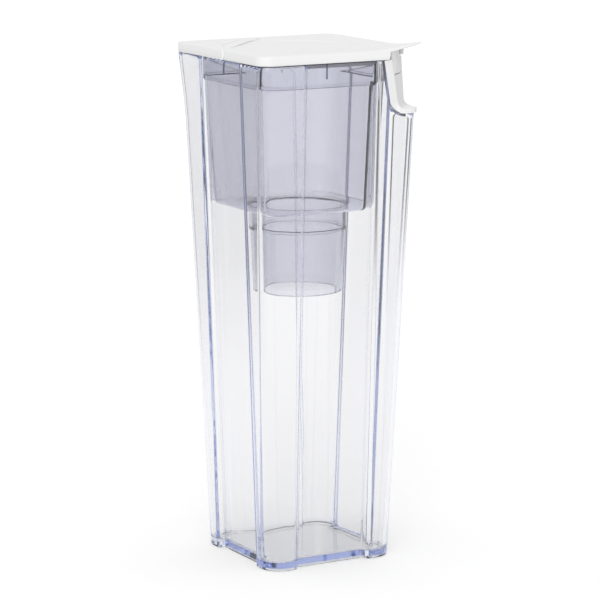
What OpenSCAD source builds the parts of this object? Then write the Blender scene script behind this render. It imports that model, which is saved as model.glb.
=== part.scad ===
// Water filter pitcher with a flip lid: a slim square jug of clear plastic with a groove down
// each side, a smoky hopper that hangs in its mouth, a filter cartridge in the hopper's sleeve,
// and a white lid. It stands on Z = 0 with its axis on Z and its sides along X and Y.
// It pours over the -X +Y corner, and a thumb opens the lid at the notched +X -Y corner.

/* [Jug] */
// Height of the jug from the table to its rim
jug_h = 300; // [280:1:320]
// Half width of the jug at its rim
jug_top_half = 53.2; // [52.4:0.1:55]
// Half width of the jug at the table
jug_foot_half = 42.5; // [41:0.1:44]
// Corner radius of the jug at its rim
jug_top_r = 8.5; // [8:0.1:10]
// Corner radius of the jug at the table
jug_foot_r = 12.5; // [11:0.1:14]
// Wall thickness of the jug
jug_wall = 2.4; // [2:0.1:2.6]
// Thickness of the jug's floor
jug_floor = 3.4; // [2.5:0.1:5]
// Height of the rim that the jug stands on
foot_rim_h = 1.2; // [0.8:0.1:2]
// Width of the rim that the jug stands on
foot_rim_w = 3; // [2:0.1:4]

/* [Side grooves] */
// Half width of the groove down each side
groove_half = 23.5; // [20:0.1:25]
// Width of the smooth step at each edge of a groove
groove_step = 4; // [3:0.1:6]
// Depth of a groove at the rim
groove_top = 2.4; // [1.5:0.1:2.8]
// Depth of a groove at the table
groove_foot = 4; // [2:0.1:5]

/* [Grip notch] */
// Distance from the jug's square corner in to the back of the notch at the rim
notch_in = 18.3; // [16:0.1:19]
// Depth of the notch below the rim
notch_drop = 31.5; // [28:0.1:36]
// Lean of the back of the notch, in degrees
notch_lean = 6; // [4:0.5:8]
// Radius at the foot of the notch
notch_r = 8; // [6:0.1:10]
// How far the saddle's pad stands out from the notch
pad_rise = 2.7; // [2:0.1:3.2]
// Width of the bevel down each side of the pad
pad_bevel = 6; // [4:0.1:7]
// Overhang of the ledge past the jug's corner
ledge_over = 1.5; // [0.5:0.1:2]

/* [Hopper] */
// Depth of the hopper from the jug's rim to the underside of its floor
hopper_depth = 89; // [80:1:95]
// Distance from the jug's side at the rim in to the hopper, under its rim band
hopper_in = 8.7; // [8:0.1:10]
// How much each side of the hopper leans in from its rim band to its floor
hopper_lean = 4; // [3:0.1:5]
// Corner radius of the hopper
hopper_r = 11; // [9:0.1:13]
// Corner radius of the hopper at the pouring corner
pour_r = 16; // [13:0.1:18]
// Wall thickness of the hopper
hopper_wall = 1.8; // [1.4:0.1:2]
// Thickness of the hopper's floor
hopper_floor = 2; // [1.5:0.1:2.5]
// How far the flat at the grip corner cuts in from the hopper's square corner
flat_cut = 14.3; // [13:0.1:16]
// Height of the rim band
band_h = 12.5; // [10:0.1:14]
// How far the rim band stands out from the hopper
band_out = 1.5; // [1:0.1:2]
// Distance from the jug's side in to the edge of the flange that rests on its rim
flange_in = 3.2; // [3:0.1:3.6]
// Thickness of the flange
flange_t = 1.4; // [1.2:0.1:1.6]
// Distance of the rim band's upright ribs from the middle of each side
rib_off = 11.6; // [9:0.1:15]
// Height of the ribs
rib_h = 8; // [6:0.5:10]

/* [Sleeve] */
// Outer radius of the socket collar under the floor
collar_r = 28.2; // [27:0.1:29]
// Length of the socket collar
collar_h = 14; // [10:0.1:20]
// How much narrower than the collar the tube starts
tube_in = 0.8; // [0.5:0.1:1.2]
// How much the tube narrows to its open end
tube_lean = 1.8; // [1:0.1:2.5]
// Length of the tube
tube_h = 37; // [30:0.5:45]

/* [Lid] */
// Height of the lid frame's skirt
frame_h = 3; // [2.6:0.1:4]
// Thickness of the lid frame's top and skirt
frame_t = 1.4; // [1.2:0.1:1.6]
// Depth that the lid frame's plug reaches into the hopper
plug_drop = 3.5; // [2.5:0.1:5]
// How far the lid stands out past the jug's side
lid_over = 0.4; // [0.2:0.1:0.6]
// Thickness of the flip lid
lid_t = 2.6; // [2.2:0.1:3.2]
// Thickness of the flip lid's skirt, which hides the frame's edge
skirt_t = 1.6; // [1.2:0.1:1.8]
// Gap that shows between the flip lid and the frame
lid_gap = 0.3; // [0.2:0.05:0.5]
// How far the finger tab curls up
tab_rise = 4.1; // [3:0.1:5]
// How much thinner the tab is at its tip
tab_thin = 1.7; // [1:0.1:1.8]
// Distance from the back of the notch at which the tab starts to curl
tab_run = 7; // [4:0.5:10]
// Distance from the seam in to the rim of the shallow dish
dish_in = 1.2; // [1:0.1:5]
// Depth of the dish
dish_d = 0.6; // [0.3:0.05:0.9]
// Width of the raised border round the flip lid
border_w = 9; // [7:0.5:11]
// Depth of the step inside the border
border_d = 0.35; // [0.2:0.05:0.5]
// Width of the latch tongue under the tab
tongue_w = 15.5; // [12:0.5:16]
// Length of the latch tongue below the rim
tongue_h = 9; // [7:0.5:11]
// Thickness of the latch tongue
tongue_t = 1.6; // [1.4:0.1:1.8]

/* [Hinge] */
// Distance from the jug's square corner in to the hinge axis
hinge_in = 37.5; // [37:0.1:38.5]
// Width of the flip lid's hinge barrel
barrel_w = 32; // [28:0.5:33]
// Radius of the hinge pins
pin_r = 1.1; // [0.9:0.05:1.2]
// Length of each hinge pin
pin_l = 9; // [8:0.5:10]

/* [Cartridge] */
// Clearance between the cartridge and the sleeve
cart_gap = 0.7; // [0.6:0.05:1.2]
// Wall thickness of the cartridge
cart_wall = 1.3; // [1:0.1:1.6]
// Width of the flange that rests on the hopper's floor, past the collar
cart_flange_w = 1.8; // [1.5:0.1:4]
// Height of the cap's side above the flange
cap_h = 16; // [12:0.5:20]
// Number of water slots round the cap
cap_slots = 16; // [8:1:20]
// Thickness of each felt screen
screen_t = 1.4; // [1:0.1:2]
// Radius of the seal's round section
seal_r = 1; // [0.8:0.05:1.1]

/* [Hidden] */

// Clearances
seat_gap = 0.3;
insert_gap = 0.1;
run_gap = 0.06;
swing_gap = 0.4;

// Fineness of arcs in outlines and of turned parts
corner_steps = 10;
groove_steps = 6;
seal_steps = 32;
$fn = 96;

clear = [0.80, 0.84, 0.92, 0.35];
smoky = [0.60, 0.62, 0.72, 0.6];
white = [0.95, 0.95, 0.94];

// Heights
hopper_z = jug_h - hopper_depth;
floor_z = hopper_z + hopper_floor;
collar_z = hopper_z - collar_h;
tube_z = collar_z - tube_h;
band_z = jug_h - band_h;
flange_z = jug_h + seat_gap / 2;
flange_top = flange_z + flange_t;
frame_z = jug_h + seat_gap;
frame_top = frame_z + frame_h;
lid_z = frame_top + lid_gap;
lid_top = lid_z + lid_t;
plug_z = jug_h - plug_drop;
skirt_z = jug_h + 0.2 + seat_gap;

// Distances from the axis along the diagonal through the grip and pouring corners
corner_reach = jug_top_half * sqrt(2);
notch_reach = corner_reach - notch_in;
hinge_reach = corner_reach - hinge_in;
tab_start = notch_reach - tab_run;

// Hopper and sleeve
hopper_top_half = jug_top_half - hopper_in;
hopper_foot_half = hopper_top_half - hopper_lean;
band_half = hopper_top_half + band_out;
flat_top_reach = hopper_top_half * sqrt(2) - flat_cut;
flat_foot_reach = flat_top_reach - hopper_lean;
band_flat_reach = flat_top_reach + band_out;
flange_half = jug_top_half - flange_in;
tube_top_r = collar_r - tube_in;
tube_foot_r = tube_top_r - tube_lean;

// Hinge: the barrel's top is flush with the lid's top
barrel_r = 3.1;
boss_r = 2.9;
hinge_z = lid_top - barrel_r;
tail = 4.2;
seam_run = 4.5;
seam_reach = hinge_reach - seam_run;
seam_r = norm([seam_run, barrel_r]) - lid_gap;
dish_r = seam_reach - dish_in;

// Vector and outline helpers
function unit(v) = v / norm(v);
function mix(a, b, t) = a + (b - a) * t;
function clip01(x) = min(1, max(0, x));
function smooth(x) = 0.5 - 0.5 * cos(180 * clip01(x));
function turned(p, a) = [p.x * cos(a) - p.y * sin(a), p.x * sin(a) + p.y * cos(a)];

// Arc of radius r that rounds the corner p between its neighbours a and b
function round_corner(a, p, b, r) =
    let (ua = unit(a - p))
    let (ub = unit(b - p))
    let (half = acos(ua * ub) / 2)
    let (c = p + unit(ua + ub) * r / sin(half))
    let (from = p + ua * r / tan(half) - c)
    let (to = p + ub * r / tan(half) - c)
    let (a0 = atan2(from.y, from.x))
    let (raw = atan2(to.y, to.x) - a0)
    let (turn = raw > 180 ? raw - 360 : raw < -180 ? raw + 360 : raw)
    [for (i = [0 : corner_steps]) let (a = a0 + turn * i / corner_steps) c + r * [cos(a), sin(a)]];

// Outline through the given corners, each rounded by its own radius, with side_steps parts a side
function rounded(corners, radii, side_steps = 1) =
    let (n = len(corners))
    let (arcs = [
        for (i = [0 : n - 1])
        round_corner(corners[(i + n - 1) % n], corners[i], corners[(i + 1) % n], radii[i])
    ])
    [
        for (i = [0 : n - 1])
        let (from = arcs[i][corner_steps])
        let (to = arcs[(i + 1) % n][0])
        each concat(arcs[i], [for (k = [1 : 1 : side_steps - 1]) mix(from, to, k / side_steps)])
    ];

// Corners of a square, counter-clockwise from -X -Y, whose grip corner is cut off flat at the distance
// reach from the axis
function flatted_corners(h, reach) =
    let (e = reach * sqrt(2) - h)
    [[-h, -h], [e, -h], [h, -e], [h, h], [-h, h]];

// Closed solid through outlines of one length at rising heights, each seen whole from the axis
module loft(rings, heights, convex_ends = false) {
    n = len(rings[0]);
    m = len(rings);
    ring_points = [for (k = [0 : m - 1]) for (p = rings[k]) [p.x, p.y, heights[k]]];
    ends = [[0, 0, heights[0]], [0, 0, heights[m - 1]]];
    sides = [
        for (k = [0 : m - 2])
        for (i = [0 : n - 1])
        let (j = (i + 1) % n)
        each [
            [k * n + i, (k + 1) * n + i, (k + 1) * n + j],
            [k * n + i, (k + 1) * n + j, k * n + j]
        ]
    ];
    bottom = [for (i = [0 : n - 1]) [n * m, i, (i + 1) % n]];
    top = [for (i = [0 : n - 1]) [n * m + 1, (m - 1) * n + (i + 1) % n, (m - 1) * n + i]];
    flat_bottom = [[for (i = [0 : n - 1]) i]];
    flat_top = [[for (i = [n - 1 : -1 : 0]) (m - 1) * n + i]];
    points = convex_ends ? ring_points : concat(ring_points, ends);
    caps = convex_ends ? concat(flat_bottom, flat_top) : concat(bottom, top);
    polyhedron(points = points, faces = concat(sides, caps), convexity = 6);
}

// Flat profile of reach and height, spread to both sides of the grip corner's diagonal
module on_diagonal(width) {
    rotate([0, 0, -45]) rotate([90, 0, 0]) linear_extrude(height = width, center = true) children();
}

// Jug

function jug_half(z) = mix(jug_foot_half, jug_top_half, z / jug_h);
function jug_r(z) = mix(jug_foot_r, jug_top_r, z / jug_h);
function groove_depth(z) = mix(groove_foot, groove_top, z / jug_h);

// Inward shift of a side at the distance s from its middle, 1 in the groove and 0 on the lobes
function groove_form(s) = smooth((groove_half + groove_step / 2 - abs(s)) / groove_step);

// Distances from a side's middle at which its outline has points
function side_stations(edge) =
    let (start = groove_half + groove_step / 2)
    let (step = [for (i = [0 : groove_steps]) start - groove_step * i / groove_steps])
    concat([-edge], -step, [for (i = [groove_steps : -1 : 0]) step[i]], [edge]);

// Outline of the jug at the height z, moved inward by inset
function jug_ring(z, inset) =
    let (half = jug_half(z) - inset)
    let (r = jug_r(z) - inset)
    let (edge = half - r)
    let (depth = groove_depth(z))
    let (side = [for (s = side_stations(edge)) [s, -half + depth * groove_form(s)]])
    let (arc = [
        for (i = [1 : corner_steps - 1])
        let (a = -90 + 90 * i / corner_steps)
        [edge + r * cos(a), -edge + r * sin(a)]
    ])
    let (quarter = concat(side, arc))
    [for (turn = [0 : 90 : 270]) for (p = quarter) turned(p, turn)];

// Back and floor of the grip notch, moved into the jug by grow, from the height top downward
notch_c = [
    notch_reach + (notch_r + (notch_drop - notch_r) * sin(notch_lean)) / cos(notch_lean),
    jug_h - notch_drop + notch_r
];
function notch_curve(grow, top) =
    let (r = notch_r + grow)
    let (x = notch_reach - (grow + (top - jug_h) * sin(notch_lean)) / cos(notch_lean))
    let (turns = [for (i = [0 : corner_steps]) mix(180 + notch_lean, 270, i / corner_steps)])
    concat([[x, top]], [for (a = turns) notch_c + r * [cos(a), sin(a)]]);
far_reach = 2 * jug_top_half;

// Everything outside the notch's back and above its floor
module notch_region(grow, top) {
    polygon(concat(notch_curve(grow, top), [[far_reach, notch_c.y - notch_r - grow], [far_reach, top]]));
}

module outer_jug() {
    heel = 0.8;
    cove = 2.2;
    inner_z = foot_rim_h + jug_floor;
    top_z = jug_h + 1;
    color(clear)
    difference() {
        loft([jug_ring(0, heel), jug_ring(heel, 0), jug_ring(jug_h, 0)], [0, heel, jug_h]);
        // Inside of the jug, which leaves a wall behind the notch
        difference() {
            loft(
                [
                    jug_ring(inner_z, jug_wall + cove),
                    jug_ring(inner_z + 0.3 * cove, jug_wall + 0.3 * cove),
                    jug_ring(inner_z + cove, jug_wall),
                    jug_ring(top_z, jug_wall)
                ],
                [inner_z, inner_z + 0.3 * cove, inner_z + cove, top_z]
            );
            on_diagonal(far_reach) notch_region(jug_wall, top_z + 1);
        }
        loft([jug_ring(0, foot_rim_w), jug_ring(0, foot_rim_w + 0.5)], [-1, foot_rim_h]);
        on_diagonal(far_reach) notch_region(0, jug_h + 1);
    }
}

// White saddle outside the notch

// Half width across the corner, between the jug's flat faces, at a reach and a height
function half_chord(reach, z) = jug_half(z) * sqrt(2) - reach;

// Points of the notch's curve moved out of the jug by rise, from the rim down to past the corner
function saddle_curve(rise) =
    let (curve = notch_curve(-rise, jug_h))
    concat(curve, [[corner_reach + 2 * ledge_over, curve[len(curve) - 1].y]]);

// Solid that follows the notch, with bevelled sides that widen at its foot into the ledge
module saddle_body() {
    back = saddle_curve(insert_gap);
    front = saddle_curve(pad_rise);
    m = len(back);
    ledge_w = half_chord(notch_c.x, notch_c.y) + 2 * ledge_over;
    foot = [for (k = [0 : m - 1]) smooth((k - 1) / (m - 3))];
    points = [
        for (k = [0 : m - 1])
        let (back_w = mix(half_chord(back[k].x, back[k].y), ledge_w, foot[k]))
        let (front_w = mix(half_chord(front[k].x, front[k].y) - pad_bevel, ledge_w, foot[k]))
        each [
            [back[k].x, -back_w, back[k].y], [front[k].x, -front_w, front[k].y],
            [front[k].x, front_w, front[k].y], [back[k].x, back_w, back[k].y]
        ]
    ];
    sides = [
        for (k = [0 : m - 2]) for (i = [0 : 3]) let (j = (i + 1) % 4)
        each [[4 * k + i, 4 * k + j, 4 * k + 4 + j], [4 * k + i, 4 * k + 4 + j, 4 * k + 4 + i]]
    ];
    ends = [[3, 2, 1, 0], [4 * m - 4, 4 * m - 3, 4 * m - 2, 4 * m - 1]];
    rotate([0, 0, -45]) polyhedron(points = points, faces = concat(sides, ends), convexity = 4);
}

// Block the width of the latch tongue, along the saddle's pad and behind its front
module latch_block(back, front, low, top, width) {
    rotate([0, 0, -45])
    translate([notch_reach, -width / 2, jug_h])
    rotate([0, -notch_lean, 0])
    translate([pad_rise - back, 0, -low])
    cube([back + front, width, low + top]);
}

module grip_saddle() {
    low_z = jug_h - notch_drop - 1;
    color(white)
    difference() {
        intersection() {
            saddle_body();
            loft([jug_ring(low_z, -ledge_over), jug_ring(jug_h, -ledge_over)], [low_z, jug_h]);
        }
        latch_block(tongue_t + seat_gap, pad_rise, tongue_h + seat_gap, pad_rise, tongue_w + 2 * seat_gap);
    }
}

// Hopper

flat_r = 2.5;
least_r = 0.8;
hopper_radii = [hopper_r, flat_r, flat_r, hopper_r, pour_r];
function radii_in(radii, inset) = [for (r = radii) max(least_r, r - inset)];
function hopper_share(z) = (z - hopper_z) / (band_z - hopper_z);
function hopper_half(z) = mix(hopper_foot_half, hopper_top_half, hopper_share(z));
function flat_reach(z) = mix(flat_foot_reach, flat_top_reach, hopper_share(z));
function hopper_ring(z, inset) =
    rounded(flatted_corners(hopper_half(z) - inset, flat_reach(z) - inset), radii_in(hopper_radii, inset));
function band_ring(inset) =
    rounded(flatted_corners(band_half - inset, band_flat_reach - inset), radii_in(hopper_radii, inset));

module hopper_shell() {
    heel = 3;
    difference() {
        union() {
            loft(
                [
                    hopper_ring(hopper_z, heel),
                    hopper_ring(hopper_z + 0.3 * heel, 0.3 * heel),
                    hopper_ring(hopper_z + heel, 0),
                    hopper_ring(band_z, 0)
                ],
                [hopper_z, hopper_z + 0.3 * heel, hopper_z + heel, band_z], true
            );
            translate([0, 0, band_z - hopper_wall])
            linear_extrude(height = flange_top - band_z + hopper_wall) polygon(band_ring(0));
            hopper_flange();
            band_ribs();
        }
        loft(
            [
                hopper_ring(floor_z, hopper_wall + heel - 1),
                hopper_ring(floor_z + 0.3 * heel, hopper_wall + 0.2 * heel),
                hopper_ring(floor_z + heel, hopper_wall),
                hopper_ring(band_z + 1, hopper_wall)
            ],
            [floor_z, floor_z + 0.3 * heel, floor_z + heel, band_z + 1], true
        );
        translate([0, 0, band_z])
        linear_extrude(height = band_h + 2 * flange_t) polygon(band_ring(hopper_wall));
    }
}

// Flange that rests on the jug's rim along the four grooves
module hopper_flange() {
    flange_l = 2 * (groove_half - groove_step);
    for (turn = [0 : 90 : 270])
        rotate([0, 0, turn])
        translate([-flange_l / 2, -flange_half, flange_z])
        cube([flange_l, flange_half - band_half + hopper_wall / 2, flange_t]);
}

// Upright rib on the band at each side
module band_ribs() {
    rib_t = 0.8;
    for (turn = [0, 180])
        rotate([0, 0, turn])
        for (side = [0, 1])
            mirror([side, -side, 0])
            translate([-rib_off - rib_t / 2, -band_half - rib_t, jug_h - rib_h])
            cube([rib_t, rib_t + hopper_wall / 2, rib_h]);
}

module hopper() {
    bore_r = tube_top_r - hopper_wall;
    foot_bore_r = tube_foot_r - hopper_wall;
    socket_r = collar_r - hopper_wall;
    ledge_z = collar_z + hopper_wall;
    mid_floor_z = hopper_z + hopper_floor / 2;
    color(smoky)
    difference() {
        union() {
            hopper_shell();
            // Outside of the sleeve
            rotate_extrude()
            polygon([
                [0, tube_z], [tube_foot_r, tube_z], [tube_top_r, collar_z], [collar_r, collar_z],
                [collar_r, mid_floor_z], [0, mid_floor_z]
            ]);
        }
        // Inside of the sleeve
        rotate_extrude()
        polygon([
            [0, tube_z - 1], [foot_bore_r, tube_z - 1], [foot_bore_r, tube_z], [bore_r, collar_z],
            [bore_r, ledge_z], [socket_r, ledge_z], [socket_r, floor_z + 1], [0, floor_z + 1]
        ]);
    }
}

// Lid

lid_half = jug_top_half + lid_over;
plug_in = hopper_wall + seat_gap;
frame_flat = notch_reach - 2 * seat_gap;
frame_radii = [jug_top_r, flat_r, flat_r, jug_top_r, jug_top_r];
frame_in = skirt_t + 2 * seat_gap;

// Half plane behind a line square to the diagonal, at the signed reach from the axis
module behind(reach, low, high) {
    rotate([0, 0, -45])
    translate([reach - 2 * far_reach, -far_reach, low])
    cube([2 * far_reach, 2 * far_reach, high - low]);
}

module across_hinge(r, length) {
    rotate([0, 0, -45])
    translate([-hinge_reach, 0, hinge_z])
    rotate([90, 0, 0]) cylinder(h = length, r = r, center = true);
}

module frame_outline(inset) {
    polygon(rounded(flatted_corners(lid_half - inset, frame_flat - inset), radii_in(frame_radii, inset)));
}

module plug_outline(inset) {
    polygon(band_ring(plug_in + inset));
}

module hinge_bosses() {
    intersection() {
        difference() {
            across_hinge(boss_r, 2 * band_half);
            across_hinge(2 * boss_r, barrel_w + 2 * swing_gap);
        }
        translate([0, 0, plug_z]) linear_extrude(height = lid_top - plug_z) plug_outline(0);
    }
}

module lid_frame() {
    edge_in = lid_half - flange_half - seat_gap;
    pour_w = 26;
    pour_l = 12;
    color(white)
    difference() {
        union() {
            // Flat ring between the outer edge and the plug
            translate([0, 0, frame_top - frame_t]) linear_extrude(height = frame_t)
            difference() {
                frame_outline(frame_in);
                plug_outline(frame_t);
            }
            translate([0, 0, frame_z]) linear_extrude(height = frame_h)
            difference() {
                frame_outline(frame_in);
                frame_outline(edge_in);
            }
            translate([0, 0, plug_z]) linear_extrude(height = frame_top - plug_z)
            difference() {
                plug_outline(0);
                plug_outline(frame_t);
            }
            // Fixed cover over the pouring corner, with its front edge round the hinge axis
            intersection() {
                difference() {
                    translate([0, 0, frame_z]) linear_extrude(height = lid_top - frame_z) frame_outline(0);
                    translate([0, 0, frame_z - 1])
                    linear_extrude(height = frame_h - frame_t + 1) frame_outline(edge_in);
                }
                union() {
                    behind(-hinge_reach, frame_z, lid_top);
                    across_hinge(seam_r, 2 * far_reach);
                }
            }
            hinge_bosses();
        }
        // Room for the swing of the flip lid's tail
        across_hinge(norm([tail, barrel_r]) + swing_gap, barrel_w + 2 * swing_gap);
        across_hinge(pin_r + run_gap, barrel_w + pin_l + 1);
        // Pouring gap over the corner of the jug's rim
        rotate([0, 0, -45]) translate([-far_reach, -pour_w / 2, frame_z - 1])
        cube([far_reach - corner_reach + pour_l, pour_w, frame_h - frame_t + 1]);
    }
}

// How far the finger tab has curled up, from 0 where it starts to 1 at the square corner
function curl(p) = pow(clip01(((p.x - p.y) / sqrt(2) - tab_start) / (corner_reach - tab_start)), 1.5);

// Height of a point of the flip lid that lies level above the underside of its flat part
function lid_point(p, level) =
    let (under = (tab_rise + tab_thin) * curl(p))
    let (over = lid_t + tab_rise * curl(p))
    [p.x, p.y, lid_z + mix(under, over, level / lid_t)];

// Outline of the flip lid in front of the seam
seam_share = 0.08;
seam_corner_r = 1.2;
tab_corner_r = 4;
lid_side_steps = 8;
function lid_outline(inset) =
    let (h = lid_half - inset)
    let (e = h - (seam_reach - seam_share * inset) * sqrt(2))
    let (side_r = max(flat_r, jug_top_r - inset))
    let (radii = [seam_corner_r, side_r, tab_corner_r, side_r, seam_corner_r])
    rounded([[-h, -e], [-h, -h], [h, -h], [h, h], [e, h]], radii, lid_side_steps);

// Ring of the dish, with one point in the direction of each point of the outline
function dish_ring(outline, r) = [for (p = outline) unit(p) * r];

module flip_lid_plate() {
    edge = 1.2;
    dish_slope = 3;
    border_slope = 1;
    outer = lid_outline(0);
    n = len(outer);
    inner_edge = lid_outline(border_w + border_slope);
    plain = lid_t - border_d;
    rows = [
        [outer, 0],
        [outer, lid_t - edge],
        [lid_outline(0.3 * edge), lid_t - 0.3 * edge],
        [lid_outline(edge), lid_t],
        [lid_outline(border_w), lid_t],
        [inner_edge, plain],
        [dish_ring(outer, dish_r), plain],
        [dish_ring(outer, dish_r - dish_slope), plain - dish_d]
    ];
    top_points = [for (row = rows) for (p = row[0]) lid_point(p, row[1])];
    under = [for (p = inner_edge) lid_point(p, 0)];
    centres = [lid_point([0, 0], plain - dish_d), lid_point([0, 0], 0)];
    points = concat(top_points, under, centres);
    m = len(rows);
    last = len(points) - 2;
    faces = concat(
        [
            for (k = [0 : m - 2]) for (i = [0 : n - 1]) let (j = (i + 1) % n)
            each [[k * n + i, (k + 1) * n + i, (k + 1) * n + j], [k * n + i, (k + 1) * n + j, k * n + j]]
        ],
        [for (i = [0 : n - 1]) let (j = (i + 1) % n) [(m - 1) * n + i, last, (m - 1) * n + j]],
        [
            for (i = [0 : n - 1]) let (j = (i + 1) % n)
            each [[m * n + i, i, j], [m * n + i, j, m * n + j]]
        ],
        [for (i = [0 : n - 1]) let (j = (i + 1) % n) [last + 1, m * n + i, m * n + j]]
    );
    polyhedron(points = points, faces = faces, convexity = 8);
}

// Skirt that hides the frame's edge, from the seam to the notch
module flip_lid_skirt() {
    translate([0, 0, skirt_z]) linear_extrude(height = lid_z - skirt_z + 0.5)
    difference() {
        frame_outline(0);
        frame_outline(skirt_t);
        rotate([0, 0, -45]) translate([-2 * far_reach - seam_reach, -far_reach])
        square([2 * far_reach, 2 * far_reach]);
    }
}

module flip_lid() {
    lip_h = 2.4;
    lip_t = 1.2;
    lip_back = 4;
    lip_in = frame_t + swing_gap;
    color(white)
    difference() {
        union() {
            difference() {
                union() {
                    flip_lid_plate();
                    flip_lid_skirt();
                }
                across_hinge(seam_r + lid_gap, 2 * far_reach);
            }
            // Hinge barrel and the part of the lid behind it
            rotate([0, 0, -45])
            translate([-hinge_reach - tail, -barrel_w / 2, lid_z])
            cube([tail + seam_r + lid_gap + 1, barrel_w, lid_t]);
            across_hinge(barrel_r, barrel_w);
            // Lip that drops into the frame's mouth
            difference() {
                translate([0, 0, lid_z - lip_h]) linear_extrude(height = lip_h + 0.5)
                difference() {
                    plug_outline(lip_in);
                    plug_outline(lip_in + lip_t);
                }
                behind(lip_back - seam_reach, plug_z - 1, lid_top);
            }
            // Latch tongue that hangs in the saddle's pocket
            latch_block(tongue_t, 0, tongue_h, lid_top - jug_h - seat_gap, tongue_w);
        }
        across_hinge(pin_r, 2 * lid_half);
    }
}

module hinge_pins() {
    color(white)
    for (side = [-1, 1])
        rotate([0, 0, -45])
        translate([-hinge_reach, side * (barrel_w / 2), hinge_z])
        rotate([90, 0, 0]) cylinder(h = pin_l, r = pin_r, center = true);
}

// Cartridge

cart_flange_z = floor_z + seat_gap;
cart_foot_in = 3;
cart_foot_z = tube_z + cart_foot_in;
cart_flange_t = 2;
grille_t = 2;
seal_z = collar_z + collar_h / 2;
media_top = cart_flange_z - screen_t;

cart_top_r = tube_top_r - hopper_wall - cart_gap;
cart_foot_r = tube_foot_r - hopper_wall - cart_gap;
cart_flange_r = collar_r + cart_flange_w;
seal_reach = collar_r - hopper_wall - insert_gap - seal_r;
function cart_r(z) = mix(cart_foot_r, cart_top_r, (z - cart_foot_z) / (cart_flange_z - cart_foot_z));

module cartridge_body() {
    band_r = seal_reach - 0.2 * seal_r;
    top = cart_flange_z + cart_flange_t;
    bore = cart_top_r - cart_wall;
    color(smoky)
    rotate_extrude()
    difference() {
        polygon([
            [cart_foot_r - cart_wall, cart_foot_z], [cart_foot_r, cart_foot_z],
            [cart_r(seal_z - 2 * seal_r), seal_z - 2 * seal_r], [band_r, seal_z - 2 * seal_r],
            [band_r, seal_z + 2 * seal_r], [cart_r(seal_z + 2 * seal_r), seal_z + 2 * seal_r],
            [cart_top_r, cart_flange_z], [cart_flange_r, cart_flange_z], [cart_flange_r, top], [bore, top],
            [bore, cart_flange_z]
        ]);
        translate([seal_reach, seal_z]) circle(r = seal_r, $fn = seal_steps);
    }
}

module cartridge_seal() {
    color([0.85, 0.86, 0.88])
    translate([0, 0, seal_z]) rotate_extrude()
    translate([seal_reach, 0]) circle(r = seal_r, $fn = seal_steps);
}

module cartridge_grille() {
    slots = 12;
    slot_w = 2;
    r = cart_foot_r - cart_wall;
    slot_from = 0.3 * r;
    slot_to = 0.85 * r;
    color(white)
    translate([0, 0, cart_foot_z])
    difference() {
        cylinder(h = grille_t, r = r);
        for (i = [0 : slots - 1])
            rotate([0, 0, 360 * i / slots])
            translate([slot_from, -slot_w / 2, -1]) cube([slot_to - slot_from, slot_w, grille_t + 2]);
    }
}

module screen(z) {
    color([0.93, 0.93, 0.92]) translate([0, 0, z]) cylinder(h = screen_t, r = cart_r(z) - cart_wall);
}

module filter_media() {
    low = cart_foot_z + grille_t + screen_t;
    color([0.78, 0.79, 0.82])
    translate([0, 0, low])
    cylinder(h = media_top - low, r1 = cart_r(low) - cart_wall, r2 = cart_r(media_top) - cart_wall);
}

module upper_screen() {
    screen(media_top);
}

module lower_screen() {
    screen(cart_foot_z + grille_t);
}

module cartridge_cap() {
    foot_r = cart_flange_r - 1;
    foot_h = 1.5;
    side_z = foot_h + 0.5;
    shoulder_r = cart_top_r - 2;
    crown_r = cart_top_r - 8;
    crown_z = cap_h + 3;
    top_z = cap_h + 4;
    slot_w = 1.2;
    slot_end = 4;
    ring_r = 9;
    ring_t = 2.4;
    wall = cart_wall;
    color(smoky)
    translate([0, 0, cart_flange_z + cart_flange_t]) {
        difference() {
            rotate_extrude()
            polygon([
                [cart_top_r - 2 * wall, 0], [foot_r, 0], [foot_r, foot_h], [cart_top_r, side_z],
                [shoulder_r, cap_h], [crown_r, crown_z], [0, top_z], [0, top_z - wall],
                [crown_r, crown_z - wall], [shoulder_r - wall, cap_h - wall], [cart_top_r - wall, side_z],
                [cart_top_r - 2 * wall, foot_h - 0.5]
            ]);
            for (i = [0 : cap_slots - 1])
                rotate([0, 0, 360 * i / cap_slots])
                translate([crown_r, -slot_w / 2, slot_end]) cube([far_reach, slot_w, cap_h - 2 * slot_end]);
        }
        // Pull ring
        translate([0, 0, (crown_z + top_z) / 2])
        rotate([90, 0, 45])
        difference() {
            cylinder(h = ring_t, r = ring_r, center = true);
            cylinder(h = 2 * ring_t, r = ring_r - ring_t, center = true);
            translate([-2 * ring_r, -2 * ring_r, -ring_t]) cube([4 * ring_r, 2 * ring_r, 2 * ring_t]);
        }
    }
}

outer_jug();
grip_saddle();
hopper();
lid_frame();
flip_lid();
hinge_pins();
cartridge_body();
cartridge_cap();
cartridge_grille();
cartridge_seal();
upper_screen();
filter_media();
lower_screen();
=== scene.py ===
"""Looks of the water filter pitcher: clear jug, smoky hopper, white lid and saddle."""

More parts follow.
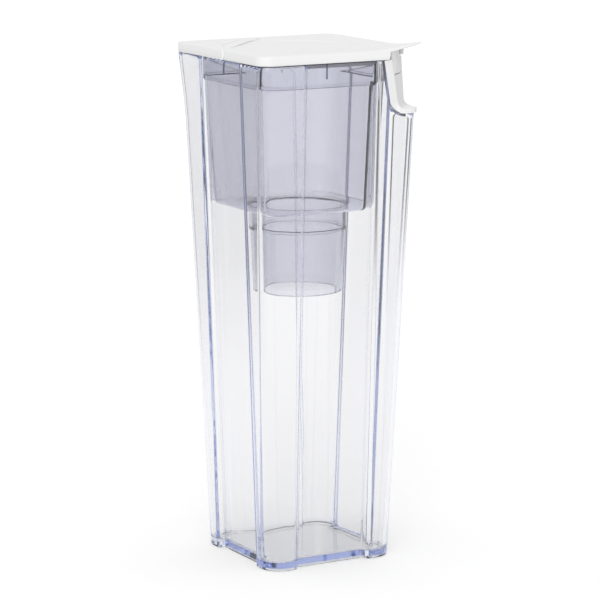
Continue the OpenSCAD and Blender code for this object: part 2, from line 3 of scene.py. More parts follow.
import bpy
import numpy as np
from mathutils import Euler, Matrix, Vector


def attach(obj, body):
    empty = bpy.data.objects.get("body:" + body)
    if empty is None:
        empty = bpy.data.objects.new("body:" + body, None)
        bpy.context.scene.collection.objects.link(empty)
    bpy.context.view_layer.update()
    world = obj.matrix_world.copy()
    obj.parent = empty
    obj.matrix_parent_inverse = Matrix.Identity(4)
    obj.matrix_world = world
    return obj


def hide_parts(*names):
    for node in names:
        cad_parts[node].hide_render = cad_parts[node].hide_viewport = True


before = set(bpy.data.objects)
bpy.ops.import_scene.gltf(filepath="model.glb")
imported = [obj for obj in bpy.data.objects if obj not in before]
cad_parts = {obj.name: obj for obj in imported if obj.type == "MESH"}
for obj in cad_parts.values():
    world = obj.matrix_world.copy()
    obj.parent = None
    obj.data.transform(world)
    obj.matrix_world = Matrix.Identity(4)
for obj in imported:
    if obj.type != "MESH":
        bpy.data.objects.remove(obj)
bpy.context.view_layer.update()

# Sizes in millimetres, with the same values as in the part's source
JUG_H = 300.0
JUG_HALF = (42.5, 53.2)
JUG_R = (12.5, 8.5)
JUG_WALL = 2.4
INNER_FLOOR = 4.6
FOOT_RIM_H = 1.2
FOOT_RIM_W = 3.0
GROOVE_HALF = 23.5
GROOVE_STEP = 4.0
GROOVE = (4.0, 2.4)
RIM_REACH = JUG_HALF[1] * np.sqrt(2)
NOTCH_REACH = RIM_REACH - 18.3
NOTCH_DROP = 31.5
NOTCH_LEAN = np.radians(6.0)
NOTCH_R = 8.0
HOPPER_Z = 211.0
BAND_Z = 287.5
HOPPER_TOP = 301.55
HOPPER_HALF = (40.5, 44.5)
HOPPER_RADII = np.array([11.0, 2.5, 2.5, 11.0, 16.0])
HOPPER_WALL = 1.8
COLLAR_Z = 197.0
COLLAR_R = 28.2
TUBE_Z = 160.0
TUBE_R = (25.6, 27.4)
PAD_RISE = 2.7
PAD_GAP = 0.1
LEDGE_OVER = 1.5
LID_HALF = JUG_HALF[1] + 0.4
LID_R = 8.5
LID_Z = 303.6
LID_T = 2.6
SKIRT_Z = 300.5
SKIRT_T = 1.6
FRAME_Z = 300.3
FRAME_TOP = 303.3
FRAME_FLAT = 56.34
PLUG_T = 1.4
PLUG_Z = 296.5
HINGE_REACH = RIM_REACH - 37.5
SEAM_REACH = HINGE_REACH - 4.5
BARREL_R = 3.1
BARREL_W = 32.0
HINGE_Z = LID_Z + LID_T - BARREL_R
TAIL = 4.2
BORDER_W = 9.0
BORDER_D = 0.35
DISH_R = 32.04
TAB_START = NOTCH_REACH - 7.0
TAB_END = RIM_REACH
TAB_RISE = 4.1
TAB_THIN = 1.7
TONGUE_W = 15.5
TONGUE_H = 9.0
TONGUE_T = 1.6
SEAT_GAP = 0.3

# Sizes in millimetres that the looks set apart from the part's source
HOPPER_FLAT = (43.9, 47.9)
HOPPER_FLOOR = 1.0
HOPPER_HEEL = 3.0
HOPPER_EDGE = 0.4
BAND_HALF = 47.2
BAND_FLAT = 51.33
BAND_WALL = 3.0
PLUG_IN = 3.3
RIB_OFF = (8.3, 1.5)
RIB_W = 0.8
RIB_OUT = 0.6
RIB_H = 9.0
PAD_BEVEL = 4.0
POUR_TIP_R = 3.5
POUR_LIP = 2.4
POUR_LIP_H = 38.0
POUR_LIP_W = 7.0
FOOT_HEEL = 0.8
CUT_EDGE = 0.7
FLOOR_COVE = 2.2
LID_EDGE = 1.2
SKIRT_END = 59.9
SEAM_GAP = 0.06
FRAME_IN = (2.2, 3.3)
DISH_D = 0.8
DISH_SLOPE = 2.2

# Share of an outline's inset by which its edges along the seam and the recess move in too
SEAM_FOLLOWS = 0.08

# Metres in a millimetre, angles of the rows round a quarter bend, and sizes of the rings of a flat floor
MM = 0.001
QUARTER = np.radians([22, 45, 68, 90])
DISC_SHARES = (0.85, 0.6, 0.3)

# The studio, with places in metres and angles in degrees
CAMERA_PLACE = (-0.863, -1.542, 0.482)
CAMERA_TURN = 29.24
CAMERA_DOWN = 10.55
FLOOR_REACH = 6.0
FLOOR_Z = -0.0002
CARD_H = 0.9
BOUNCES = 32
WHITE = (1.0, 1.0, 1.0, 1.0)


# Mesh helpers

def mesh_piece(name, points, faces, material, body, sharp=32):
    """Puts points in millimetres and faces into a new mesh, smooth except at edges past the angle sharp."""
    mesh = bpy.data.meshes.new(name)
    mesh.from_pydata((np.asarray(points) * MM).tolist(), [], [list(f) for f in faces])
    mesh.validate()
    mesh.shade_smooth()
    mesh.set_sharp_from_angle(angle=np.radians(sharp))
    piece = bpy.data.objects.new(name, mesh)
    bpy.context.scene.collection.objects.link(piece)
    mesh.materials.append(material)
    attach(piece, body)
    return piece


def grid_faces(rows, columns, loop=False):
    """Quads between neighbouring rows of closed rings, and from the last row to the first if loop is set."""
    last = rows if loop else rows - 1
    r = np.repeat(np.arange(last), columns)
    c = np.tile(np.arange(columns), last)
    up = (r + 1) % rows
    right = (c + 1) % columns
    quads = [r * columns + c, r * columns + right, up * columns + right, up * columns + c]
    return np.stack(quads, axis=1).tolist()


def fan_faces(ring_start, columns, pole, flip=False):
    """Triangles from a ring to its pole."""
    c = np.arange(columns)
    right = (c + 1) % columns
    tris = np.stack([ring_start + c, ring_start + right, np.full(columns, pole)], axis=1)
    return (tris[:, ::-1] if flip else tris).tolist()


def smooth(x):
    """Half a cosine wave that rises from 0 to 1."""
    return 0.5 - 0.5 * np.cos(np.pi * np.clip(x, 0, 1))


def shares(count):
    """Equal steps from 0 up to, but without, 1."""
    return np.arange(count) / count


# Jug

def from_foot(pair, z):
    """A size that changes evenly from its value at the foot to its value at the rim."""
    return pair[0] + (pair[1] - pair[0]) * (z / JUG_H)


def jug_section(z, inset):
    """The jug's outline at height z, moved in by inset: on each side a straight lobe, a cosine step into the
    groove and out again, and a lobe, then a quarter circle at the corner. Lobes next to the grip have more
    points, for its cut edges."""
    lobe_points = 8
    cut_lobe_points = 64
    step_points = 12
    groove_points = 16
    corner_points = 28
    half = from_foot(JUG_HALF, z) - inset
    r = from_foot(JUG_R, z) - inset
    depth = from_foot(GROOVE, z)
    edge = half - r
    outer = GROOVE_HALF + GROOVE_STEP / 2
    inner = GROOVE_HALF - GROOVE_STEP / 2
    rings = []
    for side in range(4):
        near = cut_lobe_points if side == 1 else lobe_points
        far = cut_lobe_points if side == 0 else lobe_points
        s = np.concatenate([
            -edge + (edge - outer) * shares(near),
            -outer + GROOVE_STEP * shares(step_points),
            -inner + 2 * inner * shares(groove_points),
            inner + GROOVE_STEP * shares(step_points),
            outer + (edge - outer) * shares(far),
        ])
        flat = np.stack([s, -half + depth * smooth((outer - np.abs(s)) / GROOVE_STEP)], axis=1)
        a = -np.pi / 2 + np.pi / 2 * shares(corner_points)
        arc = np.stack([edge + r * np.cos(a), -edge + r * np.sin(a)], axis=1)
        quarter = np.concatenate([flat, arc])
        turn = np.pi / 2 * side
        rings.append(quarter @ np.array([[np.cos(turn), np.sin(turn)], [-np.sin(turn), np.cos(turn)]]))
    return np.concatenate(rings)


def notch_centre():
    """Reach and height of the middle of the notch's fillet, which touches its leaning back and its floor."""
    lean_part = (NOTCH_DROP - NOTCH_R) * np.sin(NOTCH_LEAN)
    return NOTCH_REACH + (NOTCH_R + lean_part) / np.cos(NOTCH_LEAN), JUG_H - NOTCH_DROP + NOTCH_R


def notch_line():
    """Reach and height along the notch from the rim down: a leaning line, then an arc to its floor."""
    arc_points = 60
    centre_x, centre_z = notch_centre()
    a = np.linspace(np.pi + NOTCH_LEAN, 1.5 * np.pi, arc_points)
    reach = np.concatenate([[NOTCH_REACH], centre_x + NOTCH_R * np.cos(a)])
    height = np.concatenate([[JUG_H], centre_z + NOTCH_R * np.sin(a)])
    return reach, height


def blend_rings(low, high, t):
    """Rings part of the way between a foot outline and a rim outline, each point by its own share t."""
    return low + (high - low) * t[:, None]


def rim_height(inset):
    """Height of the cut edge at each point of the outline: the rim, or the notch's line where the point's
    reach on the grip diagonal passes it. The wall leans, so the height is settled by repeating."""
    rounds = 40
    reach, height = notch_line()
    low = jug_section(0.0, inset)
    high = jug_section(JUG_H, inset)
    z = np.full(len(low), JUG_H)
    for _ in range(rounds):
        p = blend_rings(low, high, z / JUG_H)
        z = 0.5 * z + 0.5 * np.interp((p[:, 0] - p[:, 1]) / np.sqrt(2), reach, height)
    return z


def with_pour_lip(p, z):
    """Bends the pouring corner outwards near the rim: a bell curve across the corner that grows upwards."""
    growth = 1.2
    across = (p[:, 0] + p[:, 1]) / np.sqrt(2)
    grown = np.clip((z - JUG_H + POUR_LIP_H) / POUR_LIP_H, 0, 1) ** growth
    out = POUR_LIP * grown * np.exp(-(across / POUR_LIP_W) ** 2) * (p[:, 1] > p[:, 0])
    return p + out[:, None] * np.array([-1.0, 1.0]) / np.sqrt(2)


def jug_wall_rows(inset, foot, drop, steps):
    """Rows of one face of the wall from the height foot up to drop below the cut edge."""
    low = jug_section(0.0, inset)
    high = jug_section(JUG_H, inset)
    top = rim_height(inset) - drop
    rows = []
    for share in steps:
        z = foot + (top - foot) * share
        rows.append(np.column_stack([with_pour_lip(blend_rings(low, high, z / JUG_H), z), z]))
    return rows


def flat_row(z, inset, scale=1.0):
    """The outline at one height, shrunk towards the axis by scale."""
    p = jug_section(z, inset) * scale
    return np.column_stack([p, np.full(len(p), z)])


def make_jug(material):
    """One closed skin: underside, standing rim, outer wall, rounded cut edge, inner wall, cove and floor."""
    up = np.concatenate([np.linspace(0, 0.7, 15), np.linspace(0.7, 1, 24)[1:]])
    soft = 0.3 * CUT_EDGE
    recess = FOOT_RIM_W + 0.5
    bevel = 0.3
    rows = [flat_row(FOOT_RIM_H, recess, share) for share in DISC_SHARES[::-1]]
    rows += [flat_row(FOOT_RIM_H, recess), flat_row(bevel, FOOT_RIM_W), flat_row(0.0, FOOT_RIM_W - bevel)]
    for a in np.concatenate([[0.0], QUARTER[:-1]]):
        rows.append(flat_row(FOOT_HEEL * (1 - np.cos(a)), FOOT_HEEL * (1 - np.sin(a))))
    rows += jug_wall_rows(0.0, FOOT_HEEL, CUT_EDGE, up)
    rows += jug_wall_rows(soft, FOOT_HEEL, soft, [1.0])
    rows += jug_wall_rows(CUT_EDGE, FOOT_HEEL, 0.0, [1.0])
    rows += jug_wall_rows(JUG_WALL - CUT_EDGE, FOOT_HEEL, 0.0, [1.0])
    rows += jug_wall_rows(JUG_WALL - soft, FOOT_HEEL, soft, [1.0])
    rows += jug_wall_rows(JUG_WALL, INNER_FLOOR + FLOOR_COVE, CUT_EDGE, up[::-1])
    for a in QUARTER:
        z = INNER_FLOOR + FLOOR_COVE * (1 - np.sin(a))
        rows.append(flat_row(z, JUG_WALL + FLOOR_COVE * (1 - np.cos(a))))
    rows += [flat_row(INNER_FLOOR, JUG_WALL + FLOOR_COVE, share) for share in DISC_SHARES]
    columns = len(rows[0])
    points = np.concatenate(rows + [np.array([[0, 0, FOOT_RIM_H], [0, 0, INNER_FLOOR]])])
    low_pole = len(points) - 2
    faces = grid_faces(len(rows), columns)
    faces += fan_faces(0, columns, low_pole, flip=True)
    faces += fan_faces((len(rows) - 1) * columns, columns, low_pole + 1)
    jug = mesh_piece("jug_shell", points, faces, material, "jug")
    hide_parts("outer_jug")
    return jug


# Hopper

def cut_corners(half, reach):
    """Corners of a square whose grip corner is cut off square to its diagonal at reach."""
    cut = reach * np.sqrt(2) - half
    return np.array([[-half, -half], [cut, -half], [half, -cut], [half, half], [-half, half]])


def rounded_outline(corners, radii, arc_steps=24, stations=None):
    """Outline through the corners, each rounded by its radius, with even points on the arcs, and on each side
    the points at its stations, which are shares of the side's length."""
    if stations is None:
        stations = [shares(10)[1:]] * len(corners)
    ends = []
    count = len(corners)
    for i in range(count):
        before = corners[i - 1] - corners[i]
        after = corners[(i + 1) % count] - corners[i]
        before = before / np.linalg.norm(before)
        after = after / np.linalg.norm(after)
        half = np.arccos(np.dot(before, after)) / 2
        middle = before + after
        centre = corners[i] + middle / np.linalg.norm(middle) * radii[i] / np.sin(half)
        start = corners[i] + before * radii[i] / np.tan(half) - centre
        left = before[1] * after[0] - before[0] * after[1]
        turn = (np.pi - 2 * half) * np.sign(left)
        a = np.arctan2(start[1], start[0]) + turn * np.linspace(0, 1, arc_steps + 1)
        ends.append(centre + radii[i] * np.stack([np.cos(a), np.sin(a)], axis=1))
    pieces = []
    for i in range(count):
        nxt = ends[(i + 1) % count][0]
        pieces += [ends[i], ends[i][-1] + (nxt - ends[i][-1]) * stations[i][:, None]]
    return np.concatenate(pieces)


def hopper_section(z, inset):
    """The hopper's outline below its rim band at height z."""
    t = (z - HOPPER_Z) / (BAND_Z - HOPPER_Z)
    half = HOPPER_HALF[0] + (HOPPER_HALF[1] - HOPPER_HALF[0]) * t - inset
    reach = HOPPER_FLAT[0] + (HOPPER_FLAT[1] - HOPPER_FLAT[0]) * t - inset
    return rounded_outline(cut_corners(half, reach), np.maximum(0.8, HOPPER_RADII - inset))


def band_section(inset):
    """The outline of the hopper's rim band."""
    radii = np.maximum(0.8, HOPPER_RADII - inset)
    return rounded_outline(cut_corners(BAND_HALF - inset, BAND_FLAT - inset), radii)


def sleeve_section(radius):
    """A circle with one point in the direction of each point of the hopper's outline."""
    p = hopper_section(HOPPER_Z, 0.0)
    return radius * p / np.linalg.norm(p, axis=1)[:, None]


def at(outline, z):
    """Points of an outline at one height."""
    return np.column_stack([outline, np.full(len(outline), z)])


def bands(z_from, z_to, count, inset):
    """Rows of the rim band between two heights."""
    return [at(band_section(inset), z) for z in np.linspace(z_from, z_to, count)]


def walls(z_from, z_to, inset):
    """Rows of the hopper's wall between two heights."""
    return [at(hopper_section(z, inset), z) for z in np.linspace(z_from, z_to, 16)]


def tubes(r_from, r_to, z_from, z_to):
    """Rows of a tapering sleeve between two radii and two heights."""
    count = 8
    return [at(sleeve_section(r), z) for r, z in zip(np.linspace(r_from, r_to, count),
                                                     np.linspace(z_from, z_to, count))]


def outside_rows():
    """The hopper's outside from its top edge down: rim band, ledge, wall, rounded heel, collar and tube."""
    edge = HOPPER_EDGE
    ledge = BAND_Z - HOPPER_WALL
    bevel = 0.6
    collar_edge = 0.5
    rows = [at(band_section(edge), HOPPER_TOP)]
    rows += bands(HOPPER_TOP - edge, ledge + edge, 6, 0.0)
    rows += [at(band_section(edge), ledge)]
    rows += walls(ledge - 0.01, HOPPER_Z + HOPPER_HEEL, 0.0)
    for a in QUARTER:
        z = HOPPER_Z + HOPPER_HEEL * (1 - np.sin(a))
        rows.append(at(hopper_section(z, HOPPER_HEEL * (1 - np.cos(a))), z))
    rows += [at(sleeve_section(COLLAR_R + bevel), HOPPER_Z), at(sleeve_section(COLLAR_R), HOPPER_Z - bevel)]
    rows += [at(sleeve_section(COLLAR_R), COLLAR_Z + collar_edge)]
    rows += [at(sleeve_section(COLLAR_R - edge), COLLAR_Z), at(sleeve_section(TUBE_R[1]), COLLAR_Z - 0.1)]
    rows += tubes(TUBE_R[1], TUBE_R[0], COLLAR_Z, TUBE_Z + edge)[1:]
    return rows + [at(sleeve_section(TUBE_R[0] - edge), TUBE_Z)]


def inside_rows():
    """The hopper's inside from the tube's foot up: tube, collar, floor, rounded heel, wall and rim band."""
    edge = HOPPER_EDGE
    wall = HOPPER_WALL
    floor = HOPPER_Z + HOPPER_FLOOR
    heel = HOPPER_HEEL - 1.0
    shoulder = COLLAR_Z + wall
    bore = COLLAR_R - wall
    bevel = 0.2
    rows = [at(sleeve_section(TUBE_R[0] - wall + edge), TUBE_Z)]
    rows += tubes(TUBE_R[0] - wall, TUBE_R[1] - wall, TUBE_Z + edge, shoulder - edge)
    rows += [at(sleeve_section(TUBE_R[1] - wall + edge), shoulder)]
    rows += [at(sleeve_section(bore - bevel), shoulder), at(sleeve_section(bore), shoulder + bevel)]
    rows += [at(sleeve_section(bore), floor - bevel), at(sleeve_section(bore + bevel), floor)]
    for a in QUARTER[::-1]:
        z = floor + heel * (1 - np.sin(a))
        rows.append(at(hopper_section(z, wall + heel * (1 - np.cos(a))), z))
    rows += walls(floor + heel, BAND_Z, wall)
    rows += bands(BAND_Z + 0.1, HOPPER_TOP - edge, 6, BAND_WALL)
    return rows + [at(band_section(BAND_WALL - edge), HOPPER_TOP)]


def make_hopper(material):
    """One closed skin swept round: down the outside from the rim band to the tube, and back up inside."""
    rows = outside_rows() + inside_rows()
    faces = [face[::-1] for face in grid_faces(len(rows), len(rows[0]), loop=True)]
    hopper = mesh_piece("hopper_shell", np.concatenate(rows), faces, material, "hopper")
    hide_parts("hopper")
    return hopper


# Pieces placed along the diagonal through the grip and pouring corners

def off_diagonal(reach, side, z):
    """Points given by their reach towards the grip corner, their distance to its side and their height."""
    reach, side, z = np.broadcast_arrays(reach, side, z)
    return np.stack([(reach + side) / np.sqrt(2), (side - reach) / np.sqrt(2), z], axis=-1)


def chord(inset, reach, z):
    """Half the width, square to the diagonal, of the jug's outline moved in by inset: it falls off evenly
    between the flat sides and as a circle's chord round the corner."""
    half = from_foot(JUG_HALF, z) - inset
    r = from_foot(JUG_R, z) - inset
    centre = (half - r) * np.sqrt(2)
    flat = half * np.sqrt(2) - reach
    arc = np.sqrt(np.maximum(r * r - (reach - centre) ** 2, 0.0))
    return np.where(reach < centre + r / np.sqrt(2), flat, arc)


def notch_rows(rise, far, rows_down, rows_round, rows_out):
    """The notch's line moved out of the jug by rise: down its leaning back, round the fillet, out to far."""
    centre_x, centre_z = notch_centre()
    r = NOTCH_R - rise
    a = np.linspace(np.pi + NOTCH_LEAN, 1.5 * np.pi, rows_round)
    round_x = centre_x + r * np.cos(a)
    round_z = centre_z + r * np.sin(a)
    top_x = NOTCH_REACH + rise / np.cos(NOTCH_LEAN)
    reach = np.concatenate([top_x + (round_x[0] - top_x) * rows_down, round_x,
                            round_x[-1] + (far - round_x[-1]) * rows_out])
    height = np.concatenate([JUG_H + (round_z[0] - JUG_H) * rows_down, round_z,
                             np.full(len(rows_out), round_z[-1])])
    return reach, height


def make_notch_wall(material):
    """The jug's own wall behind the notch: a band one wall thick that follows the notch's line between the
    cut edges of the sides and narrows with the corner at its foot."""
    overlap = 0.05
    round_rows = 30
    floor_rows = 14
    foot_z = 0.89 * JUG_H
    behind_corner = 4.35
    down = shares(12)
    out = np.linspace(0, 1, floor_rows + 1)[1:] ** 0.6
    far = (from_foot(JUG_HALF, foot_z) - JUG_WALL) * np.sqrt(2) - behind_corner
    across = np.linspace(-1, 1, 13)
    skins = []
    for rise, way in ((-overlap, across), (overlap - JUG_WALL, across[::-1])):
        reach, z = notch_rows(rise, far, down, round_rows, out)
        width = np.maximum(chord(JUG_WALL + overlap, reach, z), overlap)
        skins.append(off_diagonal(reach[:, None], width[:, None] * way, z[:, None]))
    rows = list(np.concatenate(skins, axis=1))
    return swept("notch_wall", rows, material, "jug", "outer_jug")


def swept(name, rows, material, body, stands_for, sharp=32):
    """A closed piece from rings of one length, with a flat face over its first and its last ring."""
    columns = len(rows[0])
    points = np.concatenate(rows)
    faces = grid_faces(len(rows), columns)
    faces.append(list(range(columns))[::-1])
    faces.append(list(range((len(rows) - 1) * columns, len(rows) * columns)))
    piece = mesh_piece(name, points, facing_out(points, faces), material, body, sharp)
    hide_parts(stands_for)
    return piece


def facing_out(points, faces):
    """The faces, turned round if the volume inside them comes out below nought."""
    total = 0.0
    for face in faces:
        corner = points[face]
        first = np.broadcast_to(corner[0], corner[1:-1].shape)
        total += np.einsum("ij,ij->", np.cross(corner[1:-1], corner[2:]), first)
    return [face[::-1] for face in faces] if total < 0 else faces


def pad_sides(edge, pocket):
    """Places across the pad's face: close to its edges, just outside and inside the pocket's walls, and
    evenly over the pocket. They draw together where the pad is narrower than the pocket."""
    near_edge = 0.94
    wall = 0.15
    fit = min(1, 0.9 * edge / pocket)
    walls = fit * np.array([-pocket - wall, -pocket, pocket, pocket + wall])
    middle = fit * np.linspace(-pocket, pocket, 13)[1:-1]
    left = np.linspace(-edge, -near_edge * edge, 3)
    return np.sort(np.concatenate([left, -left, walls, middle]))


def make_saddle(material):
    """The white saddle: a pad that follows the notch's line, with bevelled sides that end on the jug's cut
    edges, and a foot that widens into the ledge over the jug's corner. The latch tongue's pocket is pressed
    into it."""
    pocket_rows = 6
    round_rows = 40
    widening_rows = 34
    widest_reach = 67.0
    thinnest = 0.02
    edge_level = 0.95
    flank_level = 0.48
    floor_z = JUG_H - NOTCH_DROP
    below = (TONGUE_H + SEAT_GAP) * np.cos(NOTCH_LEAN) / (NOTCH_DROP - NOTCH_R)
    down = np.concatenate([np.linspace(0, below - 0.004, pocket_rows), np.linspace(below, 0.96, 9)])
    out = np.linspace(0, 1, 25)[1:]
    corner_r = from_foot(JUG_R, floor_z) + LEDGE_OVER
    far = (from_foot(JUG_HALF, floor_z) + LEDGE_OVER - corner_r) * np.sqrt(2) + corner_r - thinnest
    back_x, back_z = notch_rows(PAD_GAP, far, down, round_rows, out)
    front_x, front_z = notch_rows(PAD_RISE, far, down, round_rows, out)
    foot = smooth((np.arange(len(back_x)) - len(down) + 1) / widening_rows)
    widest = chord(0.0, widest_reach, floor_z + NOTCH_R) + 2 * LEDGE_OVER

    def half_width(reach, z, bevel):
        plain = chord(0.0, reach, z) - bevel
        half = np.minimum(plain + (widest - plain) * foot, chord(-LEDGE_OVER, reach, z))
        return np.maximum(half, thinnest)

    back_w = half_width(back_x, back_z, 0.0)
    front_w = half_width(front_x, front_z, PAD_BEVEL)
    pocket = TONGUE_W / 2 + SEAT_GAP
    deep = (TONGUE_T + SEAT_GAP) / (PAD_RISE - PAD_GAP)
    rows = []
    for k, edge in enumerate(front_w):
        side = pad_sides(edge, pocket)
        level = np.ones(len(side))
        level[[0, -1]] = edge_level
        if k < pocket_rows:
            level[np.abs(side) <= pocket + 0.01] = 1 - deep
        flank = back_w[k] + (edge - back_w[k]) * np.array([0.0, 0.5])
        side = np.concatenate([-flank, side, flank[::-1]])
        level = np.concatenate([[0.0, flank_level], level, [flank_level, 0.0]])
        reach = back_x[k] + (front_x[k] - back_x[k]) * level
        z = back_z[k] + (front_z[k] - back_z[k]) * level
        rows.append(off_diagonal(reach, side, z))
    return swept("saddle_shell", rows, material, "jug", "grip_saddle", sharp=25)


# Lid

def curl(points):
    """Share by which the tab has curled up: the way from its start to its end, to the power 1.5."""
    reach = (points[:, 0] - points[:, 1]) / np.sqrt(2)
    return np.clip((reach - TAB_START) / (TAB_END - TAB_START), 0, 1) ** 1.5


def seam_at(z, gap=0.0):
    """Reach of the seam behind the axis at height z: it lies on a cylinder round the hinge, so that the lid
    can turn."""
    radius = np.hypot(HINGE_REACH - SEAM_REACH, BARREL_R) - gap
    return HINGE_REACH - np.sqrt(radius ** 2 - (z - HINGE_Z) ** 2)


def lid_section(inset, z=LID_Z + LID_T):
    """Outline of the flip lid in front of its seam, moved in by inset, with closer points where the skirt
    ends."""
    tab_r = 4.0
    seam_r = 1.2
    half = LID_HALF - inset
    seam = half - (seam_at(z) - SEAM_FOLLOWS * inset) * np.sqrt(2)
    side_r = max(2.5, LID_R - inset)
    corners = np.array([[-half, -seam], [-half, -half], [half, -half], [half, half], [seam, half]])
    first = LID_R - LID_HALF
    last = LID_HALF - tab_r
    skirt_end = (SKIRT_END * np.sqrt(2) - LID_HALF - first) / (last - first)
    step = skirt_end + 0.006 * np.linspace(-1, 1, 9)
    to_tab = np.sort(np.concatenate([shares(30)[1:], step]))
    even = shares(12)[1:]
    stations = [even, to_tab, 1 - to_tab[::-1], even, shares(24)[1:]]
    return rounded_outline(corners, np.array([seam_r, side_r, tab_r, side_r, seam_r]), 20, stations)


def lid_row(outline, level):
    """The outline at a level above the underside of the lid's flat part, lifted by the tab's curl."""
    bend = curl(outline)
    under = (TAB_RISE + TAB_THIN) * bend
    over = LID_T + TAB_RISE * bend
    return np.column_stack([outline, LID_Z + under + (over - under) * level / LID_T])


def ring_of(radius):
    """A circle with one point in the direction of each point of the flip lid's outline."""
    p = lid_section(0.0)
    return radius * p / np.linalg.norm(p, axis=1)[:, None]


def skirt_rows():
    """Rows of the flip lid's skirt, down its inside and up its outside. It stops where the pad's face begins,
    and there is none along the seam."""
    outline = lid_section(0.0)
    reach = (outline[:, 0] - outline[:, 1]) / np.sqrt(2)
    gone = smooth((reach - SKIRT_END + 0.25) / 0.5)
    gone[reach < 2.0 - SEAM_REACH] = 0.0

    def foot_row(inset):
        row = lid_row(lid_section(inset, SKIRT_Z), 0.0)
        row[:, 2] = SKIRT_Z + (row[:, 2] - SKIRT_Z) * gone
        return row

    soft = 0.2
    inner = foot_row(SKIRT_T)
    inner[:, 2] = np.minimum(inner[:, 2] + soft, lid_row(lid_section(SKIRT_T), 0.0)[:, 2])
    outer = foot_row(0.0)
    outer[:, 2] += soft
    plate = lid_row(lid_section(0.0, LID_Z), 0.25)
    return [inner, foot_row(SKIRT_T - soft), foot_row(soft), outer, (outer + plate) / 2, plate]


def top_rows():
    """Rows of the lid's top from its rounded edge inwards: raised border, a cosine step down, the plain
    ring, and a dish with a cosine slope."""
    plain = LID_T - BORDER_D
    inner = lid_section(BORDER_W + 1.0)
    rim = ring_of(DISH_R)
    rows = []
    for a in np.radians(np.linspace(0, 90, 9)):
        level = LID_T - LID_EDGE * (1 - np.sin(a))
        rows.append(lid_row(lid_section(LID_EDGE * (1 - np.cos(a)), LID_Z + level), level))
    rows += [lid_row(lid_section(inset), LID_T) for inset in (2.0, 3.5, 5.5, 7.5, BORDER_W)]
    for t in np.linspace(0, 1, 6)[1:]:
        rows.append(lid_row(lid_section(BORDER_W + t), LID_T - BORDER_D * smooth(t)))
    rows += [lid_row(inner + (rim - inner) * t, plain) for t in (0.25, 0.5, 0.75)]
    for t in np.linspace(0, 1, 10):
        rows.append(lid_row(ring_of(DISH_R - DISH_SLOPE * t), plain - DISH_D * smooth(t)))
    return rows + [lid_row(ring_of(r), plain - DISH_D) for r in (22.0, 14.0, 7.0)]


def make_flip_plate(material):
    """The flip lid's plate and skirt as one closed skin: underside, skirt, and top."""
    rows = [lid_row(ring_of(r), 0.0) for r in (10.0, 20.0, 30.0)]
    rows += [lid_row(lid_section(inset, LID_Z), 0.0) for inset in (8.0, 4.0, SKIRT_T + 0.2)]
    rows += skirt_rows() + top_rows()
    columns = len(rows[0])
    dish_z = LID_Z + LID_T - BORDER_D - DISH_D
    points = np.concatenate(rows + [np.array([[0, 0, LID_Z], [0, 0, dish_z]])])
    faces = grid_faces(len(rows), columns)
    faces += fan_faces(0, columns, len(points) - 2, flip=True)
    faces += fan_faces((len(rows) - 1) * columns, columns, len(points) - 1)
    plate = mesh_piece("flip_plate", points, faces, material, "flip", 50)
    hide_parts("flip_lid")
    return plate


def slab_layers(width, height, thick, radius, edge):
    """Outlines and depths of a flat slab from its back to its front: a rectangle with rounded corners, with
    a quarter round at each rim."""
    corners = np.array([[-width, -height], [width, -height], [width, height], [-width, height]]) / 2
    turns = np.radians(np.linspace(0, 90, 5))
    layers = []
    for sign, way in ((-1, turns[::-1]), (1, turns)):
        for a in way:
            inset = edge * (1 - np.cos(a))
            outline = rounded_outline(corners - np.sign(corners) * inset, np.full(4, radius - inset), 8)
            layers.append((outline, sign * (thick / 2 - edge + edge * np.sin(a))))
    return layers


def upright_slab(name, size, radius, edge, place, lean, material):
    """A slab across the diagonal: place is its middle's reach and height, and lean turns its foot out."""
    thick, width, height = size
    rows = []
    for outline, depth in slab_layers(width, height, thick, radius, edge):
        reach = place[0] + depth * np.cos(lean) - outline[:, 1] * np.sin(lean)
        z = place[1] + outline[:, 1] * np.cos(lean) + depth * np.sin(lean)
        rows.append(off_diagonal(reach, outline[:, 0], z))
    return swept(name, rows, material, "flip", "flip_lid", 40)


def make_flip_barrel(material):
    """The round barrel across the diagonal at the hinge: circles along its axis, with rounded rims."""
    rim = 0.4
    half = BARREL_W / 2
    a = np.linspace(0, 2 * np.pi, 48, endpoint=False)
    ends = ((0.0, rim), (0.3 * rim, 0.3 * rim), (rim, 0.0))
    profile = [(back - half, BARREL_R - down) for back, down in ends]
    profile += [(half - back, BARREL_R - down) for back, down in ends[::-1]]
    rows = []
    for side, r in profile:
        rows.append(off_diagonal(-HINGE_REACH + r * np.cos(a), side, HINGE_Z + r * np.sin(a)))
    return swept("flip_barrel", rows, material, "flip", "flip_lid", 40)


def make_flip_tail(material):
    """The slab that lies flat from the flip lid over its barrel, in the fixed cover's recess."""
    length = HINGE_REACH + TAIL - SEAM_REACH + 1.0
    middle = length / 2 - HINGE_REACH - TAIL
    rows = []
    for outline, depth in slab_layers(length, BARREL_W, LID_T, 0.9, 0.4):
        rows.append(off_diagonal(middle + outline[:, 0], outline[:, 1], LID_Z + LID_T / 2 + depth))
    return swept("flip_tail", rows, material, "flip", "flip_lid", 40)


def make_latch_tongue(material):
    """The latch tongue: it hangs from the flip lid into the saddle's pocket and leans as the notch does."""
    top = LID_Z + LID_T - JUG_H - SEAT_GAP
    along = (top - TONGUE_H) / 2
    middle = PAD_RISE - TONGUE_T / 2
    reach = NOTCH_REACH + middle * np.cos(NOTCH_LEAN) - along * np.sin(NOTCH_LEAN)
    z = JUG_H + along * np.cos(NOTCH_LEAN) + middle * np.sin(NOTCH_LEAN)
    size = (TONGUE_T, TONGUE_W, top + TONGUE_H)
    return upright_slab("latch_tongue", size, 2.0, 0.3, (reach, z), NOTCH_LEAN, material)


